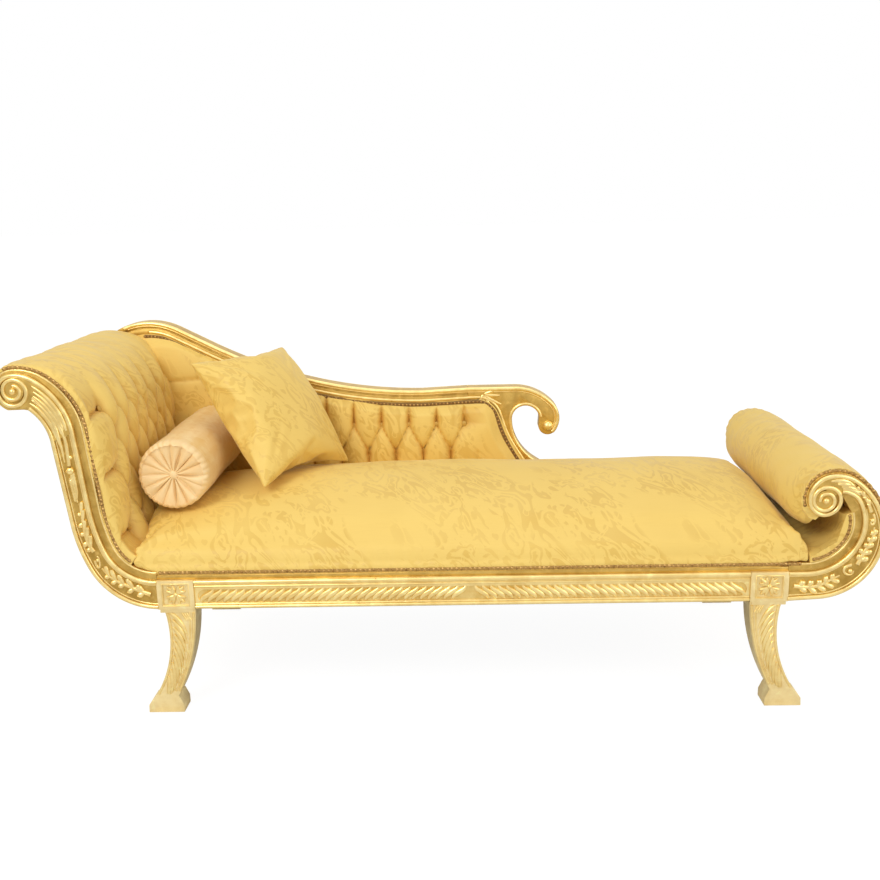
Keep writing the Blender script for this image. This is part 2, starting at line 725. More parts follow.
def tuft_relief(rows, columns, row_top, low_column, high_column):
    """Depth of buttoning over a diamond net: 0 on the fullest cloth, 1 at a button."""
    a = np.clip(rows, 0, row_top)
    b = np.clip(columns, low_column, high_column)
    p, q = b + a / 2, b - a / 2
    near_p, near_q = np.abs(p - np.round(p)), np.abs(q - np.round(q))
    valley = 1 - (np.sin(np.pi * near_p) * np.sin(np.pi * near_q)) ** 0.55
    beyond = np.hypot(np.abs(rows - a) * 0.8, np.abs(columns - b))
    spread = np.sqrt(near_p ** 2 + near_q ** 2 + beyond ** 2)
    crease = np.exp(-np.minimum(near_p, near_q) / 0.045)
    crease *= 0.45 + 0.55 * np.exp(-(spread / 0.42) ** 2)
    pit = np.exp(-(spread / 0.15) ** 1.25)
    rays = np.cos(8 * np.arctan2(near_p - near_q, near_p + near_q + 1e-6))
    rays *= np.exp(-(spread / 0.22) ** 2)
    return np.clip(0.38 * valley + 0.26 * crease + 0.36 * pit + 0.03 * rays, 0, 1)


def head_side(y):
    """How far the head pad stands off the scroll's inner edge, and its radius on the roll."""
    front = np.clip((y + BAND_FACE) / 0.030, 0, 1)
    rear = np.clip((PAD_END - y) / 0.030, 0, 1)
    lip = np.sqrt(1 - (1 - front) ** 2)
    back = np.sqrt(1 - (1 - rear) ** 2)
    side = (0.034 + 0.016 * lip +
            0.008 * smooth_step(0.0, 0.16, y + BAND_FACE) * smooth_step(0, 0.12, PAD_END - y))
    side = side * (0.80 + 0.20 * back)
    ring = 0.0535 + 0.0058 * lip * (0.6 + 0.4 * back)
    return side, ring


def padding(name, rings, cloth, waves, seed, node):
    """A tufted pad from its rings, made a little uneven."""
    piece = lofted(name, rings, cloth)
    push_out(piece, ripple(points_of(piece), waves, seed))
    give(ease(piece, 70), "damask", [node])


def make_head_pad():
    rows = 216
    lips = 0.030 * (1 - np.cos(np.linspace(0.25, 1.5, 7)))
    ys = np.sort(np.concatenate([[-BAND_FACE], lips - BAND_FACE, np.arange(-0.298, 0.262, 0.0036),
                                 PAD_END - lips, [PAD_END]]))
    low = even(flat(head_inner(BAND + 0.0003, HEAD_BAND_RING + 0.0003, 112.0)[1:]), rows)
    columns = []
    for y in ys:
        side, ring = (float(value) for value in head_side(y))
        columns.append(even(flat(head_inner(side, ring, 112.0)[1:]), rows))
    surface = np.array(columns)
    crown = head_inner(*HEAD_TUFT_LINE, 112.0)
    along = np.linspace(0, length_of(flat(crown[1:])), rows) - length_of(crown[1])
    facing = np.gradient(surface, axis=1)
    out_x, out_z = facing[..., 1], -facing[..., 0]
    size = np.hypot(out_x, out_z)
    grid_y, grid_v = np.meshgrid(ys, along, indexing="ij")
    step_rows = (grid_v - HEAD_TUFTS_FROM[0]) / TUFT_UP
    step_columns = (grid_y - HEAD_TUFTS_FROM[1]) / TUFT_ACROSS
    depth = tuft_relief(step_rows, step_columns, 4.0, -3.0, 3.0)
    pleat = np.exp(-np.abs(step_rows - 2 * np.round(step_rows / 2)) / 0.055)
    pleat *= smooth_step(-2.85, -3.25, step_columns)
    pleat *= smooth_step(0.0015, 0.010, grid_y + BAND_FACE) * smooth_step(4.5, 4.2, step_rows)
    pleat *= smooth_step(-0.6, -0.3, step_rows)
    fade = 1 - smooth_step(4.1, 5.7, step_rows)
    fade *= smooth_step(0.001, 0.024, grid_y + BAND_FACE) * smooth_step(0.001, 0.024, SCROLL_BACK - grid_y)
    fade *= 0.35 + 0.65 * smooth_step(-1.6, -0.5, step_rows)
    lobe = 0.005 * np.exp(-((grid_y + 0.284) / 0.026) ** 2) * (1 - depth) * fade
    calm = smooth_step(5.0, 6.0, step_rows)
    gathers = 0.0011 * np.sin(grid_v * TURN / 0.021) * np.exp(-(grid_y + BAND_FACE) / 0.025) * calm
    waves = 0.0007 * np.sin(grid_y * TURN / 0.060 + grid_v * 9) * calm
    push = (lobe + gathers + waves - HEAD_TUFT_DEPTH * depth * fade - 0.0085 * pleat) / size
    surface = surface + np.stack([out_x * push, out_z * push], -1)
    crease = np.minimum(1.0, depth * fade + 0.7 * pleat)
    rings, cloth = [], []
    for row, (x, z) in enumerate(low):
        v = along[row]
        rings.append([(x, -BAND_FACE, z), *zip(surface[:, row, 0], ys, surface[:, row, 1]), (x, ys[-1], z)])
        cloth.append([(-BAND_FACE - 0.03, v, 0), *[(y, v, fold) for y, fold in zip(ys, crease[:, row])],
                      (0.32, v, 0)])
    padding("head_cushioning", rings, cloth, ((0.13, 0.0010), (0.05, 0.0004)), 5, "head_pad")


def head_button_places():
    line = flat(head_inner(*HEAD_TUFT_LINE)[2:6])
    fine = even(line, 900)
    places = []
    for row in range(5):
        index = int((HEAD_TUFTS_FROM[0] + row * TUFT_UP) / length_of(line) * 899)
        (x, z), (next_x, next_z) = fine[index:index + 2]
        size = math.hypot(next_x - x, next_z - z)
        half = row % 2 / 2
        places += [((x, (step + half) * TUFT_ACROSS + HEAD_TUFTS_FROM[1], z),
                    ((next_z - z) / size, 0.0, (x - next_x) / size)) for step in range(-3, 3 if half else 4)]
    return places


def back_button_places():
    x, z = BACK_TUFTS_FROM
    return [((x - TUFT_ACROSS * (step + row / 2), 0.2527, z - TUFT_UP * row), (0, -1, 0))
            for row in (0, 1) for step in range(8 + row)]


def button_mesh(name, places, sunk, radius, height, cloth_at):
    """A domed button for every (place, facing), sunk in; cloth_at places its cloth."""
    clear_selection()
    bpy.ops.mesh.primitive_uv_sphere_add(segments=20, ring_count=12, radius=radius, location=(0, 0, 0))
    master = bpy.context.object
    edit(lambda: bpy.ops.mesh.bisect(plane_co=(0, 0, -radius * 0.25), plane_no=(0, 0, 1), clear_inner=True,
                                     use_fill=True),
         lambda: bpy.ops.transform.resize(value=(1, 1, height / (radius * 1.25))))
    corners = points_of(master)
    order = np.lexsort(np.round(corners, 7).T)      # bisect leaves them in a different order each run
    rank = np.argsort(order).tolist()
    polygons = sorted([rank[index] for index in face.vertices] for face in master.data.polygons)
    bpy.data.objects.remove(master)
    points, faces, cloth = [], [], []
    for place, facing in places:
        turn = Vector((0, 0, 1)).rotation_difference(Vector(facing)).to_matrix()
        start = len(points)
        seat = Vector(place) - Vector(facing) * sunk
        for corner in corners[order]:
            moved = (turn @ Vector(corner) + seat)[:]
            points.append(moved)
            cloth.append(cloth_at(corner, place, moved))
        faces += [[start + index for index in polygon] for polygon in polygons]
    return ease(built(name, points, faces, cloth), 50)


def tuft_buttons(name, places, node, sunk):
    piece = button_mesh(name, places, sunk, 0.0078, 0.0055,
                        lambda corner, place, moved: (corner[0] + place[1], corner[1] + place[2], 0.25))
    give(piece, "damask_deep", [node])


def patch(bottom, right, top, left, across, up):
    """Grid between four lines; bottom and top run left to right, left and right run upwards."""
    bottom, top = even(bottom, across), even(top, across)
    left, right = even(left, up), even(right, up)
    u = np.linspace(0, 1, across)[:, None, None]
    t = np.linspace(0, 1, up)[None, :, None]
    corners = ((1 - u) * (1 - t) * bottom[0] + u * (1 - t) * bottom[-1] +
               (1 - u) * t * top[0] + u * t * top[-1])
    return (1 - t) * bottom[:, None] + t * top[:, None] + (1 - u) * left[None] + u * right[None] - corners


def back_outline(inset, across, up, off, ring):
    """Grid inside the back frame; its head end follows the scroll's inner line, moved by off."""
    under = np.array(flat(rail_top(0.034 + inset)))
    side = np.array([point for point in flat(head_inner(off, ring)[:6]) if point[1] > BACK_FLOOR])
    side = side[side[:, 1] < np.interp(side[:, 0], under[:, 0], under[:, 1])]
    top = [tuple(side[-1])] + under[under[:, 0] > side[-1, 0] + 0.001].tolist()
    post = flat(post_left(inset))
    turned = len(walk((0, 0), 0, [(0.027, 0)])[0])
    left = [(float(np.interp(BACK_FLOOR, side[:, 1], side[:, 0])), BACK_FLOOR)] + side.tolist()
    right = post[turned:][::-1]
    return patch([left[0], right[0]], right, top + post[:turned], left, across, up)


def make_back_pad():
    across, up = 300, 104
    grid = back_outline(0.0003, across, up, 0.024, 0.0505)
    x, z = grid[..., 0], grid[..., 1]
    t = np.linspace(0, 1, up)[None, :]
    share = np.interp(x, [-0.86, -0.07, 0.06, 0.15, 0.29], [1.0, 1.0, 0.85, 0.45, 0.1])
    rows = (BACK_TUFTS_FROM[1] - z) / TUFT_UP
    columns = (BACK_TUFTS_FROM[0] - x) / TUFT_ACROSS
    depth = tuft_relief(rows, columns, 1.0, 0.0, 7.5)
    inner = np.minimum(grid[:, -1:, 1] - z, (grid[-1:, :, 0] - x) * 0.85)
    fade = smooth_step(-0.66, -0.58, x) * smooth_step(0.013, 0.030, inner)
    fade *= smooth_step(0.06, 0.0, x - 0.075)
    upper, lower = (np.abs(net - np.round(net)) for net in (columns, columns - 0.5))
    pleat = np.exp(-upper / 0.06) * smooth_step(0.0, -0.15, rows)
    pleat += np.exp(-lower / 0.06) * smooth_step(1.0, 1.15, rows) * smooth_step(-0.75, -0.45, columns)
    pleat *= smooth_step(0.010, 0.018, inner)
    pleat *= smooth_step(7.8, 7.4, columns) * smooth_step(-0.6, -0.4, columns)
    fold_z = 0.700 + (x + 0.80) * 0.05
    fold = np.exp(-np.abs(z - fold_z) / 0.006) * smooth_step(-0.60, -0.66, x) * smooth_step(-0.84, -0.80, x)
    swell = 0.036 * share * (1 - np.abs(2 * t - 1) ** 2.4) ** 0.85 * smooth_step(0.011, 0.034, inner)
    swell += 0.004 * smooth_step(0.010, 0.016, inner)
    face = BACK_PAD_FACE - swell + BACK_TUFT_DEPTH * depth * fade + 0.006 * fold + 0.007 * pleat
    crease = np.minimum(1.0, depth * fade + 0.5 * fold + 0.7 * pleat)
    rings, cloth = [], []
    for u, y, v, dark in zip(x, face, z, crease):
        rings.append([(u[0], BACK_PAD_REAR, v[0]), *zip(u, y, v), (u[-1], BACK_PAD_REAR, v[-1])])
        cloth.append([(u[0], v[0] - 0.02, 0), *zip(u, v, dark), (u[-1], v[-1] + 0.02, 0)])
    padding("back_cushioning", rings, cloth, ((0.12, 0.0008), (0.045, 0.0003)), 8, "back_pad")


def make_seat():
    """The domed seat: the solid's skin taken as cloth, stuffed, then smoothed."""
    piece = copy_of("seat_cushioning", "seat_pad")
    modified(piece, "REMESH", mode="VOXEL", voxel_size=0.0075)
    modified(piece, "SMOOTH", factor=0.5, iterations=4)
    inflate(piece, 3.2, 0.007, 14, 15.0, smooth_step(0.372, 0.356, points_of(piece)[:, 2]))
    co = points_of(piece)
    x, y, z = co[:, 0], co[:, 1], co[:, 2]
    front = smooth_step(-0.27, -0.325, y) * smooth_step(0.43, 0.37, z)
    pull = 0.0011 * np.sin(x * TURN / 0.0315) * front * smooth_step(0.352, 0.362, z)
    corner = np.exp(-((x - SEAT_END) / 0.05) ** 2 - ((y + 0.30) / 0.06) ** 2)
    pull += corner * 0.0024 * np.sin((x - y * 0.6) * TURN / 0.022)
    pull += 0.0045 * smooth_step(-0.675, -0.72, x) * smooth_step(0.46, 0.40, z)
    co[:, 2] -= 0.0095 * smooth_step(0.358, 0.350, z) * smooth_step(0.300, 0.318, abs(y))
    dents = ripple(co, ((0.55, 0.0022), (0.22, 0.0009), (0.07, 0.00025)), 3)
    push_out(piece, pull + dents * smooth_step(0.37, 0.42, z), co)
    modified(piece, "SUBSURF", levels=1, render_levels=1)
    co = points_of(piece)
    down = np.clip(0.408 - co[:, 2], 0, 1)
    lay_cloth(piece, np.stack([co[:, 0] + np.where(co[:, 0] > SEAT_END - 0.02, down, 0),
                               co[:, 1] * 1.03 + np.sign(co[:, 1]) * down, co[:, 2] * 0], 1))
    give(ease(piece, 80), "damask", ["seat_pad"])


def shell(name, outer, inner, ys, node, wave, seed=2, count=90, gathers=0.0, on=()):
    """A strip along a side-view line between outer(y) and inner; on makes it a sheet."""
    back = even(flat(inner), count)
    front_lines = [even(flat(outer(float(y))), count) for y in ys]
    along = np.linspace(0, length_of(front_lines[len(ys) // 2]), count)
    rings, cloth = [], []
    for line, y in zip(front_lines, ys):
        rings.append([(x, y, z) for x, z in line] + [(x, y, z) for x, z in back[::-1]])
        cloth.append([(y, place, 0) for place in along] + [(y, place, 0) for place in along[::-1]])
    piece = lofted(name, rings, cloth)
    co = points_of(piece)
    lift = ripple(co, ((0.17, wave), (0.06, wave * 0.4)), seed)
    if gathers:
        mat = np.zeros(len(co) * 3, np.float32)
        piece.data.attributes["cloth"].data.foreach_get("vector", mat)
        near = np.exp(-(BAND_FACE - np.abs(co[:, 1])) / 0.028)
        lift = lift + gathers * np.sin(mat[1::3] * TURN / 0.024) * near
    push_out(piece, lift)
    ease(piece, 55)
    if on:
        give(piece, "damask", [node])
    else:
        give(piece, "damask", [node])


def round_across(y, edge, crown):
    """Stand-off of the lining across its depth, quickly rounded at both nailed ends."""
    inset = np.clip((BAND_FACE - abs(y)) / 0.035, 0, 1)
    return edge + (crown - edge) * math.sqrt(1 - (1 - inset) ** 2)


def roll_outline(y):
    """The foot roll's skin at one depth: thin where it is nailed, full between its ends."""
    inset = BAND_FACE - abs(y)
    share = float(np.interp(inset, [0, 0.012, 0.028, 0.052, 0.100, 0.170],
                            [0, 0.04, 0.48, 0.80, 0.97, 1.0]))
    return foot_outer(0.0118 + 0.0046 * share, 55.0, ROLL_FULLNESS * share)[2:]


def make_foot_soft():
    ends = BAND_FACE - np.array([0, 0.003, 0.007, 0.011, 0.015, 0.020, 0.025, 0.030, 0.036])
    ys = np.unique(np.concatenate([-ends, np.arange(-0.290, 0.291, 0.0072), ends]))
    shell("foot_roll_cushioning", roll_outline, foot_outer(0.0003, 15.0)[2:], ys, "foot_roll_pad",
          wave=0.0014, gathers=0.0010)

    def lining(side):
        """The hollow's cloth, which starts where the seat ends."""
        line = np.array(flat(foot_inner(side, 3)))
        return [line[line[:, 0] > SEAT_END + 0.001].tolist()]

    ys = np.linspace(-BAND_FACE, BAND_FACE, 70)
    shell("foot_hollow_lining", lambda y: lining(-round_across(y, 0.031, 0.038)),
          lining(-0.0193), ys, "foot_lining", wave=0.0010, seed=4)
    half = SCROLL_BACK - 0.0001
    ys = np.linspace(-half, half, 60)
    shell("foot_outside_cloth", lambda y: foot_outer(-0.0036, 0)[:2], foot_outer(-0.0065, 0)[:2], ys,
          "foot_outside_cover", wave=0.0005, count=60, seed=6, on=["foot_middle_rail"])
    shell("head_outside_cloth", lambda y: head_outer(0.0036), head_outer(0.0065), ys,
          "head_outside_cover", wave=0.0007, count=110, seed=7, on=["head_middle_rail"])


def make_back_cloth():
    """Outside cloth of the back, cut to the scroll's line at its head end."""
    up = 60
    grid = back_outline(0.0002, 150, up, BAND + 0.0002, HEAD_BAND_RING + 0.0002)
    puff = 0.0025 * np.sin(np.pi * np.linspace(0, 1, up)) * 0.4
    rings, cloth = [], []
    for column in grid:
        ring = [(x, 0.3348 + swell, z) for (x, z), swell in zip(column, puff)]
        rings.append(ring + [(x, 0.3328, z) for x, z in column[::-1]])
        mat = [(x, z, 0) for x, z in column]
        cloth.append(mat + mat[::-1])
    piece = ease(lofted("back_outside_cloth", rings, cloth), 50)
    give(piece, "damask", ["back_outside_cover"])


def make_bolster():
    low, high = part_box("bolster")
    middle = (low + high) / 2
    half = (high.y - low.y) / 2
    radius = (high.z - low.z) / 2
    around, pleats = 320, 16
    angle = np.linspace(0, TURN, around, endpoint=False)
    stations = [(share * radius, half - 0.012 + 0.010 * share ** 1.4)
                for share in (0.10, 0.16, 0.24, 0.34, 0.46, 0.58, 0.70, 0.80, 0.87)]
    stations += [(radius - 0.013 + 0.011 * math.sin(turn), half - 0.0150 + 0.0145 * math.cos(turn))
                 for turn in np.linspace(0.12, 1.5, 8)]
    stations += [(radius - 0.0015, y) for y in np.arange(half - 0.022, 0.0, -0.012)]
    line = [(r, -y) for r, y in stations] + [(radius - 0.001, 0.0)] + stations[::-1]
    chance = random.Random(12)
    bend = np.array([chance.uniform(-0.45, 0.45) for _ in range(pleats)])
    deep = np.array([chance.uniform(0.55, 1.45) for _ in range(pleats)])
    phase = angle * pleats / TURN
    which = np.floor(phase).astype(int) % pleats
    rings, cloth = [], []
    for r, y in line:
        near = abs(y) / half
        on_end = 1 - float(smooth_step(radius * 0.86, radius * 0.99, r)) if near > 0.9 else 0.0
        fold = np.abs(np.sin(np.pi * (phase + bend[which] * (1 - r / radius)))) ** 0.55
        heap = math.sin(math.pi * min(1.0, r / radius * 0.93)) ** 0.7
        puff = 0.0022 * np.sin(angle * 2 + 0.8) + 0.0016 * np.sin(angle * 5 + r * 60)
        lift = ((fold - 0.55) * 0.0095 * deep[which] * heap + puff * heap) * on_end
        gather = (np.abs(np.sin(np.pi * phase * 2.0 + np.sin(angle * 3))) - 0.6) * 0.0022
        gather = gather * math.exp(-((half - abs(y)) / 0.026) ** 2)
        sag = 0.0012 * np.sin(3 * angle + y * 22) * (1 - near ** 4)
        reach = r + (gather + sag) * (1 if r > radius * 0.8 else 0)
        rings.append(np.stack([middle.x + reach * np.cos(angle), middle.y + y + np.sign(y) * lift,
                               middle.z + reach * np.sin(angle)], 1))
        along = np.full(around, y + (0 if near < 0.9 else r))
        cloth.append(np.stack([angle * radius, along, angle * 0], 1))
    piece = lofted("bolster_cushioning", rings, cloth)
    give(ease(piece, 60), "satin_side", ["bolster"], "bolster")
    piece.data.materials.append(FINISHES["satin"])
    for face in piece.data.polygons:
        if abs(face.center.y - middle.y) > half - 0.021:
            face.material_index = 1
    spots = [((middle.x, middle.y + way * (half - 0.016), middle.z), (0, way, 0)) for way in (-1, 1)]
    knobs = button_mesh("bolster_end_buttons", spots, 0.0, 0.0115, 0.008,
                        lambda corner, place, moved: moved)
    give(knobs, "satin", ["bolster_buttons"], "bolster")


def make_cushion():
    """Scatter cushion: two squares of cloth sewn round, stuffed by pressure and set leaning."""
    low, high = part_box("scatter_cushion")
    middle = (low + high) / 2
    count, half = 49, 0.196
    line = np.linspace(-1, 1, count)
    u, v = np.meshgrid(line, line, indexing="ij")
    thick = 0.012 * (1 - u ** 4) * (1 - v ** 4) + 0.0004
    points, faces, cloth, index = [], [], [], {}
    for face_side in (1, -1):
        for i in range(count):
            for j in range(count):
                rim = i in (0, count - 1) or j in (0, count - 1)
                if face_side < 0 and rim:
                    index[face_side, i, j] = index[1, i, j]
                    continue
                index[face_side, i, j] = len(points)
                points.append((u[i, j] * half, v[i, j] * half, 0.0 if rim else face_side * thick[i, j]))
                cloth.append((u[i, j] * half * 1.05 + 0.135, v[i, j] * half * 1.05 + 0.20, 0))
        for i in range(count - 1):
            for j in range(count - 1):
                quad = [index[face_side, i + a, j + b] for a, b in ((0, 0), (1, 0), (1, 1), (0, 1))]
                faces.append(quad if face_side > 0 else quad[::-1])
    piece = built("scatter_cushion_cover", points, faces, cloth)
    inflate(piece, 2.6, None, 22, 18.0)
    co = points_of(piece)
    co[:, :2] *= CUSHION_HALF / abs(co[:, :2]).max()
    co[:, 2] *= min(1.0, 0.070 / abs(co[:, 2]).max())
    first = Vector((0.438, 0.896, -0.064)).normalized()
    second = Vector((-0.49, 0.297, 0.817))
    normal = first.cross(second).normalized()
    second = normal.cross(first)
    set_points(piece, co)
    s, t = co[:, 0] / CUSHION_HALF, co[:, 1] / CUSHION_HALF
    droop = 0.024 * ((t - s) / 2).clip(0, 1) ** 3 + 0.008 * ((t + s) / 2).clip(0, 1) ** 3
    lean = Matrix((first, second, normal)).transposed().to_4x4()
    piece.data.transform(Matrix.Translation(middle) @ lean)
    co = points_of(piece)
    co[:, 2] -= droop
    set_points(piece, co)
    modified(piece, "SUBSURF", levels=1, render_levels=1)
    give(ease(piece, 80), "damask", ["scatter_cushion"], "cushion")


# Gilt frame ornament

def path_frame(outer, inner, count=400):
    """Middle line of a member between its two edges: places, headings, half width and length."""
    first, second = even(outer, count), even(inner, count)
    middle = (first + second) / 2
    ahead = np.gradient(middle, axis=0)
    ahead /= np.linalg.norm(ahead, axis=1, keepdims=True)
    half = np.linalg.norm(first - second, axis=1) / 2
    toward = (second - first) / (2 * half[:, None])
    reach = np.concatenate([[0], np.cumsum(np.linalg.norm(np.diff(middle, axis=0), axis=1))])
    return middle, toward, half, reach


def on_path(path, along, across):
    """Side-view place at a distance along a member and a share across it, -1 outer to 1 inner."""
    middle, toward, half, reach = path
    x, z, to_x, to_z, wide = (np.interp(along, reach, column) for column in (*middle.T, *toward.T, half))
    return x + to_x * wide * across, z + to_z * wide * across


def carve(path, y, marks, ledge=None):
    """Strokes from marks, lists of (along, across, radius); they climb past the ledge."""
    runs = []
    for mark in marks:
        run = []
        for along, across, radius in mark:
            x, z = on_path(path, along, across)
            lift = 0.0048 * float(smooth_step(ledge - 0.004, ledge + 0.003, along)) if ledge else 0.0
            run.append((x, y - lift, z, radius))
        runs.append(run)
    return runs


def ledge_of(path, first, second):
    """Distance along a member at which its sunk channel ends."""
    middle = (np.array(first) + np.array(second)) / 2
    return float(path[3][np.argmin(np.linalg.norm(path[0] - middle, axis=1))])


def swell(thin, more, share):
    """Radius of a stroke that is thin at its ends and full at its middle."""
    return thin + more * math.sin(math.pi * min(1.0, share))


def neck_flutes(first, second, eye, shares):
    """Tapering flutes drawn between two edges of a scroll's neck and gathered into its eye."""
    first, second = even(first, 60), even(second, 60)
    runs = []
    for number, share in enumerate(shares):
        line = first * (1 - share) + second * share
        line = line[np.hypot(line[:, 0] - eye[0], line[:, 1] - eye[1]) > 0.044][3 + 5 * (number % 2):]
        full = [swell(0.0, 1.0, 0.10 + 0.86 * place / 13) ** 0.8 for place in range(14)]
        runs.append([(x, -HALF + 0.0004, z, 0.0010 + 0.0050 * share)
                     for share, (x, z) in zip(full, even(line, 14))])
    return runs


def leaf_marks(start, end, size, way):
    """An acanthus spray: a wavy midrib with paired lobes that curl back from it."""
    length = end - start

    def rib(share):
        return 0.22 * way * math.sin(share * math.pi * 1.6)

    marks = [[(start + length * share, rib(share), 0.0042 * size * (1 - share * 0.70) + 0.0005)
              for share in np.linspace(0, 1, 9)]]
    for number, share in enumerate((0.10, 0.28, 0.46, 0.62, 0.78)):
        base = start + length * share
        reach = min(0.74, (0.66 - 0.26 * share) * size) * (1 if number % 2 else 0.85)
        for side in (-1, 1):
            marks.append([(base + length * (0.01 + 0.19 * step - 0.08 * step * step),
                           rib(share) + side * reach * step ** 0.8,
                           (0.0026 + 0.0034 * math.sin(step * 2.7)) * size * (1 - 0.3 * share))
                          for step in (0.0, 0.3, 0.6, 0.85, 1.0)])
    return marks


def husk_marks(start, size):
    """A bellflower: three petals that open from a bead."""
    return [[(start - 0.002, 0.0, 0.0028 * size), (start + 0.002, 0.0, 0.0028 * size)]] + [
        [(start + 0.024 * (0.1 + 0.9 * step), side * 0.36 * math.sin(step * 2.3),
          (0.0014 + 0.0030 * math.sin(step * 2.6)) * size) for step in (0.0, 0.3, 0.65, 1.0)]
        for side in (-1, 0, 1)]


def dome(radius, share):
    return max(0.0002, radius * math.sqrt(1 - share * share))


def knob_marks(along, across, radius):
    return [[(along + radius * share * 0.98, across, dome(radius, share)) for share in np.linspace(-1, 1, 9)]]


def curl_marks(along, across, size, way=1):
    """A small C-scroll with a ball at its heart."""
    mark = []
    for step in np.linspace(0, 1, 16):
        angle = 0.6 + step * 4.9
        radius = 0.0125 * size * (1 - 0.62 * step)
        mark.append((along + radius * math.cos(angle), across + way * radius * math.sin(angle) / 0.024,
                     0.0030 * size * (1 - 0.5 * step)))
    return [mark] + knob_marks(along, across, 0.0042 * size)


def spiral_run(eye, start_angle, outer, turns):
    """The volute's bead, from a scroll's edge round to its eye."""
    run = []
    for share in np.linspace(0, 1, int(64 * turns) + 1):
        angle = start_angle + share * turns * TURN
        reach = outer + (0.0125 - outer) * share ** 0.92
        run.append((eye[0] + reach * math.cos(angle), -HALF + 0.0018 - 0.002 * share,
                    eye[1] + reach * math.sin(angle), 0.0052 - 0.0012 * share))
    return run


def ball_run(x, y, z, radius):
    return [(x + radius * share, y, z, dome(radius, share)) for share in np.linspace(-1, 1, 13)]


def laid(points, y, radius):
    return [(x, y, z, radius) for x, z in points]


def scroll_mouldings(end, lines, ridge, eye, ring, turns):
    """Two beads and two quirks on a scroll's face, a ridge on its band, its volute and eye."""
    runs = [laid(flat(line), -HALF + back, radius) for line, (back, radius) in zip(
        lines, ((0.0022, 0.0052), (0.0022, 0.0050), (0.0052, 0.0022), (0.0052, 0.0020)))]
    runs.append(laid(flat(ridge), -BAND_FACE + 0.0012, 0.0026))
    last_x, last_z = lines[0][-1][-1]
    runs.append(spiral_run(eye, math.atan2(last_z - eye[1], last_x - eye[0]), ring - BEAD_IN, turns))
    runs.append(ball_run(eye[0], -HALF - 0.001, eye[1], 0.0078))
    both_sides(end + "_scroll_mouldings", runs)


def scroll_carving(end, path, marks, first, second, flutes):
    """Carved marks along a scroll, whose sunk channel ends between first and second."""
    runs = carve(path, -HALF + 0.0050, marks, ledge_of(path, first, second)) + flutes
    both_sides(end + "_scroll_carving", runs, 3, (-HALF + 0.0050, 0.85), True)


def make_head_carving():
    scroll_mouldings(
        "head", [head_inner(-BEAD_IN, HEAD_RING - BEAD_IN, 150.0), head_outer(BEAD_IN),
                 head_inner(-0.0115, HEAD_RING - 0.0115)[:4], head_outer(0.0112)[:3]],
        head_inner(BAND - 0.003, HEAD_BAND_RING - 0.003, 100.0), HEAD_EYE, HEAD_RING, 1.55)
    path = path_frame(flat(head_outer(0.0115)[:4]), flat(head_inner(-0.0125)[:5]))
    marks = leaf_marks(0.016, 0.150, 1.35, 1)
    marks += curl_marks(0.168, -0.1, 1.15, -1)
    marks += leaf_marks(0.188, 0.300, 1.25, -1)
    knob = path[3][-1] - 0.205
    for number in range(7):
        marks += husk_marks(0.312 + number * (knob - 0.335) / 7, 0.85 + 0.05 * number)
    for ahead, across, radius in ((0.0, 0.0, 0.0100), (0.016, 0.42, 0.0052), (0.014, -0.42, 0.0052),
                                  (-0.015, -0.25, 0.0050)):
        marks += knob_marks(knob + ahead, across, radius)
    stem = np.linspace(0, 1, 12)
    marks.append([(knob + 0.012 + 0.185 * s, 0.30 * math.sin(s * 5.2), 0.0052 - 0.0018 * s) for s in stem])
    for ahead, far, across, toward, full in ((0.040, 0.125, -0.55, 0.35, 0.0042),
                                             (0.060, 0.115, 0.55, -0.30, 0.0040)):
        marks.append([(knob + ahead + far * s, across + toward * s, 0.0012 + full * math.sin(2.9 * s))
                      for s in stem])
    upper, lower = head_inner(-0.0135, HEAD_RING - 0.0135), head_outer(0.0125)
    flutes = neck_flutes(flat(upper[4:6]), flat(lower[3:]), HEAD_EYE, (0.06, 0.26, 0.46, 0.66, 0.88))
    scroll_carving("head", path, marks, upper[3][-1], lower[2][-1], flutes)


def make_foot_carving():
    scroll_mouldings(
        "foot", [foot_outer(-BEAD_IN, 190.0), foot_inner(BEAD_IN), foot_outer(-0.0115, 60.0),
                 foot_inner(0.0112, 3)], foot_inner(-BAND + 0.003, 3), FOOT_EYE, FOOT_RING, 1.45)
    path = path_frame(flat(foot_outer(-0.0115, 0)[:4]), flat(foot_inner(0.0125, 4)[:4]))
    marks = leaf_marks(0.012, 0.122, 1.35, -1)
    marks += curl_marks(0.146, 0.0, 1.35, 1)
    marks += leaf_marks(0.168, 0.262, 1.3, 1)
    marks += curl_marks(0.280, 0.1, 1.2, -1)
    marks += leaf_marks(0.300, path[3][-1] - 0.010, 1.1, -1)
    outer, inner = foot_outer(-0.0125, 0), foot_inner(0.0135, 4)
    flutes = neck_flutes(flat(outer[3:]), flat(inner[3:]), FOOT_EYE, (0.06, 0.30, 0.54, 0.80))
    scroll_carving("foot", path, marks, outer[2][-1], inner[2][-1], flutes)


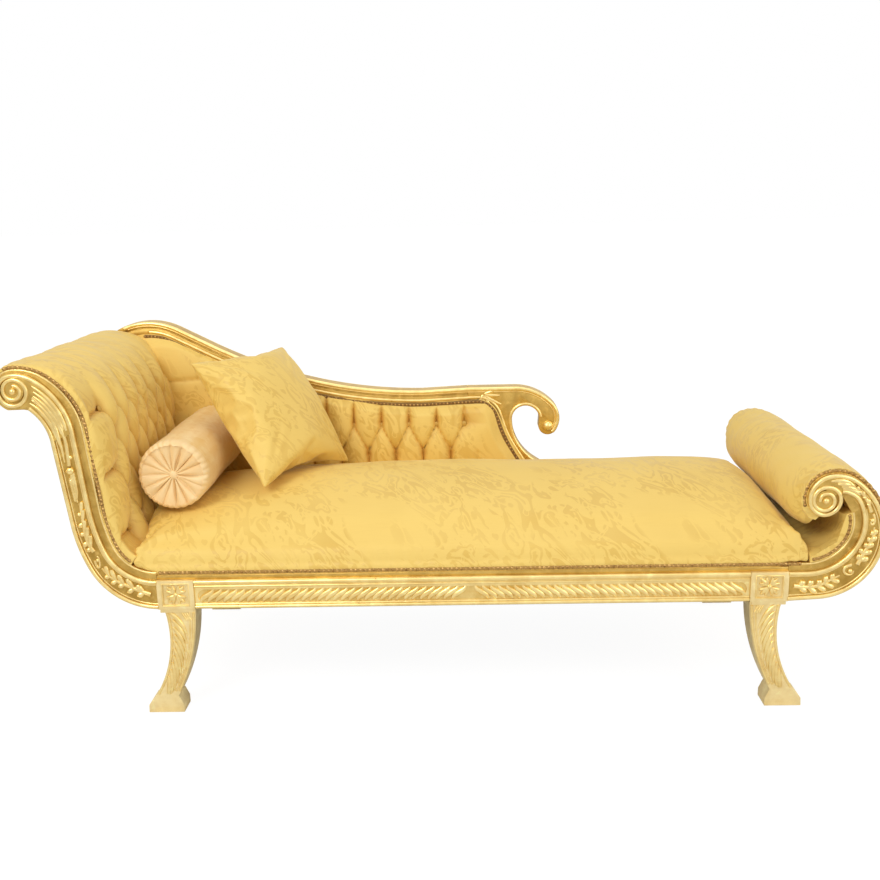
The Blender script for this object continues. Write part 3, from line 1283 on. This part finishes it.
def make_rail_carving():
    left, right = HEAD_X + BLOCK + 0.001, FOOT_X - BLOCK - 0.001
    face = -RAIL_FACE
    beads = ((0.3310, 0.0058, 0.0006), (0.3205, 0.0030, 0.0008), (0.2768, 0.0026, 0.0008),
             (0.2705, 0.0045, 0.0006))
    both_sides("rail_mouldings", [laid([(left, z), (right, z)], face + back, radius)
                                  for z, radius, back in beads], 4)
    low, high = 0.2815, 0.3135
    reeds = []
    for half in (-1, 1):
        for number in range(int(((right - left) / 2 - 0.040) / REED_PITCH) + 1):
            x = (left + right) / 2 + half * (0.026 + number * REED_PITCH)
            reed = []
            for share in np.linspace(0, 1, 7):
                swing = (share - 0.5) * 0.032 + 0.0040 * math.sin((share - 0.5) * TURN)
                reed.append((x - half * swing, face + 0.0026, low + (high - low) * share,
                             swell(0.0020, 0.0050, share * 0.9 + 0.08)))
            reeds.append(reed)
    both_sides("rail_reeds", reeds, 3, (face + 0.003, 0.8), True)


def make_leg_carving():
    """Beads and slanting flutes down the front of each leg, from the block to the ankle."""
    outer = flat(walk((HEAD_X + 0.012, RAIL_LOW + 0.002), -76.0, [(0.281, -50.0)]))
    inner = flat(walk((HEAD_X + BLOCK, RAIL_LOW + 0.002), -90.5, [(0.480, -27.8)]))
    path = path_frame(outer, inner)
    length = path[3][-1]
    face = -HALF + 0.003
    marks = [[(s, across, radius) for s in np.linspace(0.012, length * 0.93, 40)]
             for across, radius in ((-0.86, 0.0030), (0.86, 0.0034), (0.58, 0.0020))]
    flutes = 10
    for number in range(flutes):
        start = 0.010 + number * (length - 0.06) / flutes
        drop = 0.060 + 0.034 * number / flutes
        mark = []
        for share in np.linspace(0, 1, 7):
            along = start + drop * (share ** 1.25)
            if along > length * 0.95:
                break
            mark.append((along, -0.70 + 1.12 * share, swell(0.0018, 0.0046, share + 0.06)))
        if len(mark) > 2:
            marks.append(mark)
    for number in range(3):
        marks.append([(0.010 + 0.020 * share, 0.05 + 0.15 * number + 0.30 * share, 0.0014 + 0.0022 * share)
                      for share in np.linspace(0, 1, 4)])
    runs = carve(path, face + 0.0004, marks)
    runs += [[(HEAD_X + FOOT_X - x, y, z, radius) for x, y, z, radius in run] for run in runs]
    both_sides("leg_flutes", runs, 3, (face, 0.85), True)


def spray(x, z, y, angle, bend, reach, radius, shares):
    """A petal that starts at (x, z) and bends as it goes out; bend and radius follow the share."""
    return [(x + math.cos(angle + bend(s)) * reach * s, y,
             z + math.sin(angle + bend(s)) * reach * s, radius(s)) for s in shares]


def make_block_carving():
    """Square frame and four crossed leaves on each corner block."""
    runs, petals = [], []
    for left in (HEAD_X, FOOT_X - BLOCK):
        x0, x1, z0, z1 = left + 0.012, left + BLOCK - 0.012, RAIL_LOW + 0.0085, RAIL_TOP - 0.0085
        runs.append(laid([(x0, z0), (x1, z0), (x1, z1), (x0, z1), (x0, z0)], -HALF + 0.0008, 0.0022))
        x, z = (x0 + x1) / 2, (z0 + z1) / 2
        for turn in range(4):
            for side, reach in ((-0.34, 0.0235), (0.0, 0.0265), (0.34, 0.0235)):
                petals.append(spray(x, z, -HALF + 0.0032, math.pi / 4 + turn * math.pi / 2,
                                    lambda s: side * (0.4 + s), reach,
                                    lambda s: swell(0.0012, 0.0040, s * 0.92), (0.15, 0.4, 0.7, 1.0)))
        petals.append(ball_run(x, -HALF + 0.0015, z, 0.0052))
    both_sides("block_panels", runs)
    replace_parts(both_sides("block_leaves", petals, 3, (-HALF + 0.004, 0.75), True), "block_rosettes")


def make_back_carving():
    """Mouldings of back rail and end scroll on both faces, and the leaves where they meet."""
    face = SCROLL_BACK
    crest, low, quirk = ([point for point in flat(rail_top(side)) if point[0] > start] for side, start in (
        (0.0055, -0.905), (0.0290, -0.835), (0.0118, -0.895)))
    runs = [laid(line, face + back, radius) for line, back, radius in (
        (crest, 0.0016, 0.0062), (low, 0.0012, 0.0052), (quirk, 0.0004, 0.0020),
        (flat(hook_over(0.0056))[:-12], 0.0016, 0.0062),
        (flat(hook_inside(0.0050)[:4]), 0.0014, 0.0050),
        (flat(hook_over(0.0125)[:3]), 0.0004, 0.0022),
        (flat(post_left(-0.0056, 0.350)), 0.0012, 0.0046))]
    tip = hook_over()[-1][0]
    heading = math.radians(-47.3 - 77.2)
    runs.append(ball_run(tip[0] + 0.0264 * math.sin(heading), face + 0.001,
                         tip[1] - 0.0264 * math.cos(heading), 0.0150))
    strokes("back_mouldings_front", runs)
    rear_face = SCROLL_BACK + 0.044
    strokes("back_mouldings_rear", [[(x, rear_face - (y - face), z, radius) for x, y, z, radius in run]
                                    for run in runs])
    sprays = [spray(0.105, 0.642, face + 0.0008, math.radians(angle), lambda s: 0.25 * s, reach,
                    lambda s: swell(0.0015, 0.0048, s * 0.9 + 0.05), (0.08, 0.35, 0.7, 1.0))
              for angle, reach in ((-100, 0.050), (-72, 0.062), (-46, 0.058), (-20, 0.046), (8, 0.040),
                                   (-125, 0.038))]
    strokes("junction_leaves", sprays, 3, (face, 0.7), True)


def clean_ankle(co):
    """Brings the foot block's upper outside corner on to the leg's curve."""
    for way, centre in ((1, 0.0), (-1, HEAD_X + FOOT_X)):
        x = centre + way * co[:, 0]
        corner = (np.abs(x + 0.7053) < 0.0012) & (np.abs(co[:, 2] - 0.0420) < 0.0012)
        co[corner, 0] += way * -0.0012
        co[corner, 2] = 0.0335
    return co


def make_frame_members():
    for side in ("front", "rear"):
        dressed(side + "_seat_rail", side + "_rail_body", "gilt_wood", 0.0012)
    for end in ("head", "foot"):
        for side in ("front", "rear"):
            leg, scroll = "%s_%s_leg" % (side, end), "%s_%s_scroll" % (side, end)
            dressed(leg, leg + "_body", "gilt_pale", 0.0016, clean_ankle)
            dressed(scroll, scroll + "_body", "gilt_ground", 0.0014)
    for node, name, width in (("back_top_rail", "back_rail_body", 0.0020),
                              ("back_end_scroll", "back_end_scroll_body", 0.0025),
                              ("front_tack_strip", "front_tack_strip_body", 0.0012),
                              ("rear_tack_strip", "rear_tack_strip_body", 0.0012)):
        dressed(node, name, "gilt_ground", width)


def braid(name, co, width=0.0036, finish="gimp"):
    """A flat gimp braid that runs under a row of nails, from crown to crown."""
    way = 1 if co[:, 1].mean() > 0.3 else -1
    crown, base = (way * co[:, 1]).max(), (way * co[:, 1]).min()
    tops = co[way * co[:, 1] > crown - 0.00002]
    left = [tops[0]]
    for point in tops[1:]:
        if min(np.linalg.norm(point - other) for other in left) > 0.004:
            left.append(point)
    runs = []
    while left:
        far = [sum(np.linalg.norm(point - other) < NAIL_REACH for other in left) for point in left]
        run = [left.pop(int(np.argmin(far)))]
        while left:
            gaps = [np.linalg.norm(point - run[-1]) for point in left]
            if min(gaps) > NAIL_REACH:
                break
            run.append(left.pop(int(np.argmin(gaps))))
        if len(run) > 2:
            runs.append([(point[0], way * (base + 0.0002), point[2], width) for point in run])
    strokes(name, runs, 2, (way * base, 0.38), finish=finish)


def more_back_nails(piece):
    """The row runs on past both ends: to the head pad along the rail, and down to the seat."""
    edit(lambda: bpy.ops.mesh.separate(type="LOOSE"))
    nails = list(bpy.context.selected_objects)

    def extra(nail, move):
        copy = linked("extra_nail", nail.data.copy())
        copy.data.transform(Matrix.Translation(move))
        nails.append(copy)

    line = np.array(flat(rail_top(0.0403)))
    first = min(nails, key=lambda item: points_of(item)[:, 0].mean())
    place = points_of(first).mean(0)
    drop = place[2] - np.interp(place[0], line[:, 0], line[:, 1])
    for number in range(1, 9):
        x = place[0] - number * NAIL_PITCH
        z = float(np.interp(x, line[:, 0], line[:, 1])) + drop
        extra(first, (x - place[0], 0, z - place[2]))
    low, above = sorted(nails, key=lambda item: points_of(item)[:, 2].mean())[:2]
    step = points_of(low).mean(0) - points_of(above).mean(0)
    for number in range(1, 5):
        extra(low, Vector([float(value) * number for value in step]))
    clear_selection()
    for item in nails:
        item.select_set(True)
    bpy.context.view_layer.objects.active = piece
    bpy.ops.object.join()


def make_nails():
    for node in ("seat_nails", "rear_seat_nails", "head_nails", "foot_nails", "rear_foot_nails",
                 "back_nails"):
        piece = copy_of(node + "_heads", node)
        gimp = node.replace("nails", "gimp")
        if node == "back_nails":
            more_back_nails(piece)
            braid(gimp, points_of(piece), 0.0054, "gimp_deep")
        else:
            braid(gimp, points_of(piece))
        give(ease(piece, 60), "nail_bronze", [node])


def make_inner_cloths():
    """Webbing, hessian and the black bottom cloth, each a little slack."""
    for name, node, finish, sag in (("webbing_across", "crosswise_webbing", "jute", 0.0008),
                                    ("webbing_along", "lengthwise_webbing", "jute", 0.0008),
                                    ("seat_hessian_cloth", "seat_hessian", "hessian", 0.0006),
                                    ("back_hessian_cloth", "back_hessian", "hessian", 0.0004),
                                    ("bottom_cloth", "dust_cover", "black_lining", 0.0030)):
        piece = copy_of(name, node)
        low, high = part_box(node)
        length, depth = high.x - low.x, high.y - low.y
        cuts = [((low.x + length * step / 40, 0, 0), (1, 0, 0)) for step in range(1, 40)]
        if node in ("seat_hessian", "dust_cover"):
            cuts += [((0, low.y + depth * step / 16, 0), (0, 1, 0)) for step in range(1, 16)]
        edit(*[lambda at=at, facing=facing: bpy.ops.mesh.bisect(plane_co=at, plane_no=facing)
               for at, facing in cuts])
        upright = node == "back_hessian"
        axis = 1 if upright else 2
        co = points_of(piece)
        flat_co = co.copy()
        flat_co[:, axis] = 0
        drop = ripple(flat_co, ((0.32, sag), (0.12, sag * 0.3)), 9)
        if node == "dust_cover":
            bay = np.cos(np.pi * co[:, 1] / 0.66) * np.cos(np.pi * (co[:, 0] - 0.0565) / 1.27)
            drop = drop * bay.clip(0, 1) ** 0.5 - 0.004 * bay
        else:
            drop *= 0.3
        co[:, axis] += drop
        set_points(piece, co)
        give(ease(piece, 50), finish, [node])


def finish_timber():
    """The plain timbers inside keep their solids and take a grain along their length."""
    for finish, nodes in (
            ("cross_beech", ("seat_stretchers", "head_cross_rail", "foot_cross_rail", "head_roll_core",
                             "foot_roll_core", "head_middle_rail", "foot_middle_rail")),
            ("raw_beech", ("back_upright", "corner_braces", "frame_dowels")),
            ("board", ("head_backing_board", "foot_inner_board", "foot_roll_board")),
            ("felt", ("foot_glides",)), ("bolt_steel", ("corner_bolts",))):
        for node in nodes:
            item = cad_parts[node]
            item.data.materials.clear()
            item.data.materials.append(FINISHES[finish])


set_view()
set_studio()
make_frame_members()
make_head_carving()
make_foot_carving()
make_rail_carving()
make_leg_carving()
make_block_carving()
make_back_carving()
make_head_pad()
tuft_buttons("head_tuft_buttons", head_button_places(), "head_buttons", 0.025)
make_back_pad()
tuft_buttons("back_tuft_buttons", back_button_places(), "back_buttons", 0.024)
make_seat()
make_foot_soft()
make_back_cloth()
make_bolster()
make_cushion()
make_nails()
make_inner_cloths()
finish_timber()
clear_selection()
